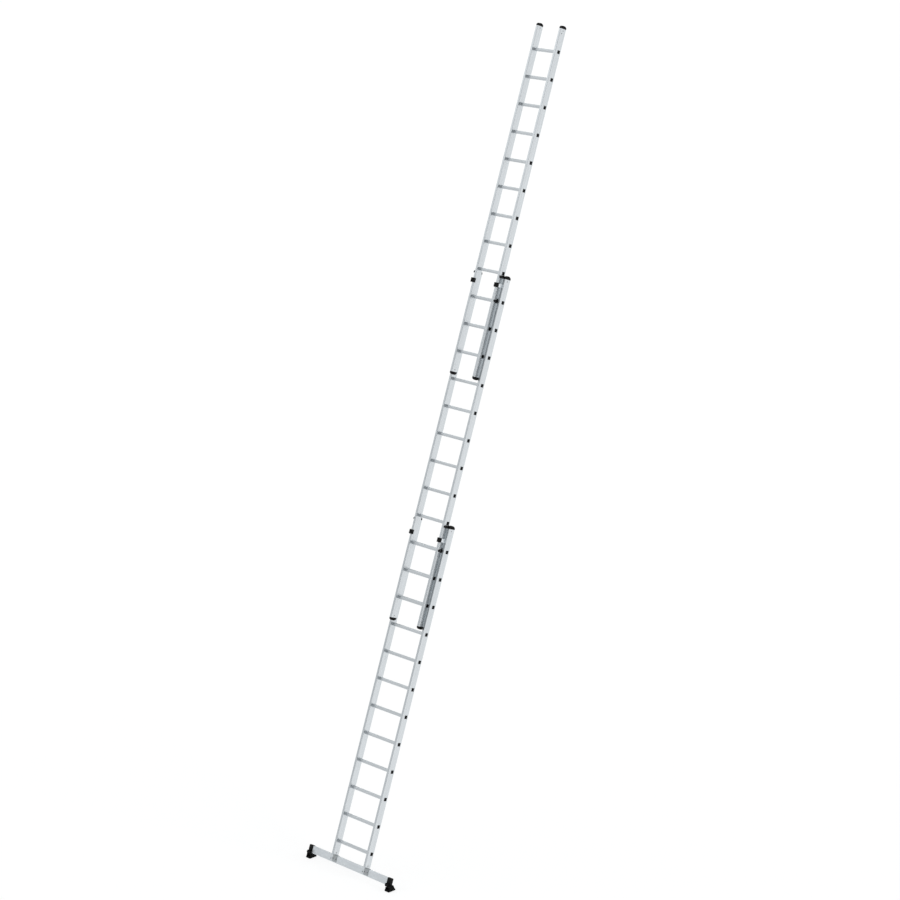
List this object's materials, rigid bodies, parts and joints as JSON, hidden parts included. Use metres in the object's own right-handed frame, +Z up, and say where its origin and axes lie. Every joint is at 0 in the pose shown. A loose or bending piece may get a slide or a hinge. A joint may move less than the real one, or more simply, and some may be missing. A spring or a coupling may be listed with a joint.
{
  "type": "extension ladder",
  "caption": "Aluminium extension ladder, extended at its working lean, with nested sliding sections, edge guides, locking hooks and a wide traverse on tilting feet.",
  "frame": {"origin": "on the floor, midway between the two feet, right under the axes on which their soles tilt", "axes": "+Z up, +X to the climber's right along the traverse and rungs, +Y away from the climber, towards the wall that the top leans on"},
  "size_m": [1.22, 2.9088, 8.1599],
  "materials": {
    "stringer_aluminium": "satin extruded",
    "rung_aluminium": "satin extruded",
    "traverse_aluminium": "satin extruded, with zinc-grey pressed saddles",
    "black_plastic": "fine moulded grain",
    "hook_steel": "burnished dark, with black pads",
    "sole_rubber": "matt, with tread grooves"
  },
  "bodies": {
    "bottom_section": {"bottom_left_stringer": "stringer_aluminium", "bottom_left_guide_cap": "black_plastic", "bottom_left_guide": "black_plastic", "bottom_right_stringer": "stringer_aluminium", "bottom_right_guide_cap": "black_plastic", "bottom_right_guide": "black_plastic", "bottom_rung_01": "rung_aluminium", "bottom_rung_02": "rung_aluminium", "bottom_rung_03": "rung_aluminium", "bottom_rung_04": "rung_aluminium", "bottom_rung_05": "rung_aluminium", "bottom_rung_06": "rung_aluminium", "bottom_rung_07": "rung_aluminium", "bottom_rung_08": "rung_aluminium", "bottom_rung_09": "rung_aluminium", "bottom_rung_10": "rung_aluminium", "bottom_rung_11": "rung_aluminium", "bottom_rung_12": "rung_aluminium", "traverse": "traverse_aluminium", "left_foot_holder": "black_plastic", "right_foot_holder": "black_plastic"},
    "left_sole": {"left_foot_sole": "sole_rubber"},
    "right_sole": {"right_foot_sole": "sole_rubber"},
    "middle_section": {"middle_left_stringer": "stringer_aluminium", "middle_left_guide_cap": "black_plastic", "middle_left_guide": "black_plastic", "middle_right_stringer": "stringer_aluminium", "middle_right_guide_cap": "black_plastic", "middle_right_guide": "black_plastic", "middle_rung_01": "rung_aluminium", "middle_rung_02": "rung_aluminium", "middle_rung_03": "rung_aluminium", "middle_rung_04": "rung_aluminium", "middle_rung_05": "rung_aluminium", "middle_rung_06": "rung_aluminium", "middle_rung_07": "rung_aluminium", "middle_rung_08": "rung_aluminium", "middle_rung_09": "rung_aluminium", "middle_rung_10": "rung_aluminium", "middle_rung_11": "rung_aluminium", "middle_rung_12": "rung_aluminium"},
    "top_section": {"top_left_stringer": "stringer_aluminium", "top_right_stringer": "stringer_aluminium", "top_rung_01": "rung_aluminium", "top_rung_02": "rung_aluminium", "top_rung_03": "rung_aluminium", "top_rung_04": "rung_aluminium", "top_rung_05": "rung_aluminium", "top_rung_06": "rung_aluminium", "top_rung_07": "rung_aluminium", "top_rung_08": "rung_aluminium", "top_rung_09": "rung_aluminium", "top_rung_10": "rung_aluminium", "top_rung_11": "rung_aluminium", "top_rung_12": "rung_aluminium"},
    "middle_left_hook": {"middle_left_hook": "hook_steel"},
    "middle_right_hook": {"middle_right_hook": "hook_steel"},
    "top_left_hook": {"top_left_hook": "hook_steel"},
    "top_right_hook": {"top_right_hook": "hook_steel"}
  },
  "joints": [
    {"name": "middle_slide", "type": "slide", "parent": "bottom_section", "child": "middle_section", "axis": [0, 0.342, 0.9397], "range_m": [-2.52, 0]},
    {"name": "top_slide", "type": "slide", "parent": "middle_section", "child": "top_section", "axis": [0, 0.342, 0.9397], "range_m": [-2.52, 0]},
    {"name": "middle_left_hook_swing", "type": "hinge", "parent": "middle_section", "child": "middle_left_hook", "pos_m": [-0.21, 1.05657, 3.18051], "axis": [1, 0, 0], "range_deg": [0, 40], "stiffness_Nm_per_rad": 0.5, "springref_deg": -28.65},
    {"name": "middle_right_hook_swing", "type": "hinge", "parent": "middle_section", "child": "middle_right_hook", "pos_m": [0.21, 1.05657, 3.18051], "axis": [1, 0, 0], "range_deg": [0, 40], "stiffness_Nm_per_rad": 0.5, "springref_deg": -28.65},
    {"name": "top_left_hook_swing", "type": "hinge", "parent": "top_section", "child": "top_left_hook", "pos_m": [-0.17, 1.8696, 5.56632], "axis": [1, 0, 0], "range_deg": [0, 40], "stiffness_Nm_per_rad": 0.5, "springref_deg": -28.65},
    {"name": "top_right_hook_swing", "type": "hinge", "parent": "top_section", "child": "top_right_hook", "pos_m": [0.17, 1.8696, 5.56632], "axis": [1, 0, 0], "range_deg": [0, 40], "stiffness_Nm_per_rad": 0.5, "springref_deg": -28.65},
    {"name": "left_foot_tilt", "type": "hinge", "parent": "bottom_section", "child": "left_sole", "pos_m": [-0.575, 0, 0.032], "axis": [1, 0, 0], "range_deg": [-20, 20]},
    {"name": "right_foot_tilt", "type": "hinge", "parent": "bottom_section", "child": "right_sole", "pos_m": [0.575, 0, 0.032], "axis": [1, 0, 0], "range_deg": [-20, 20]}
  ]
}
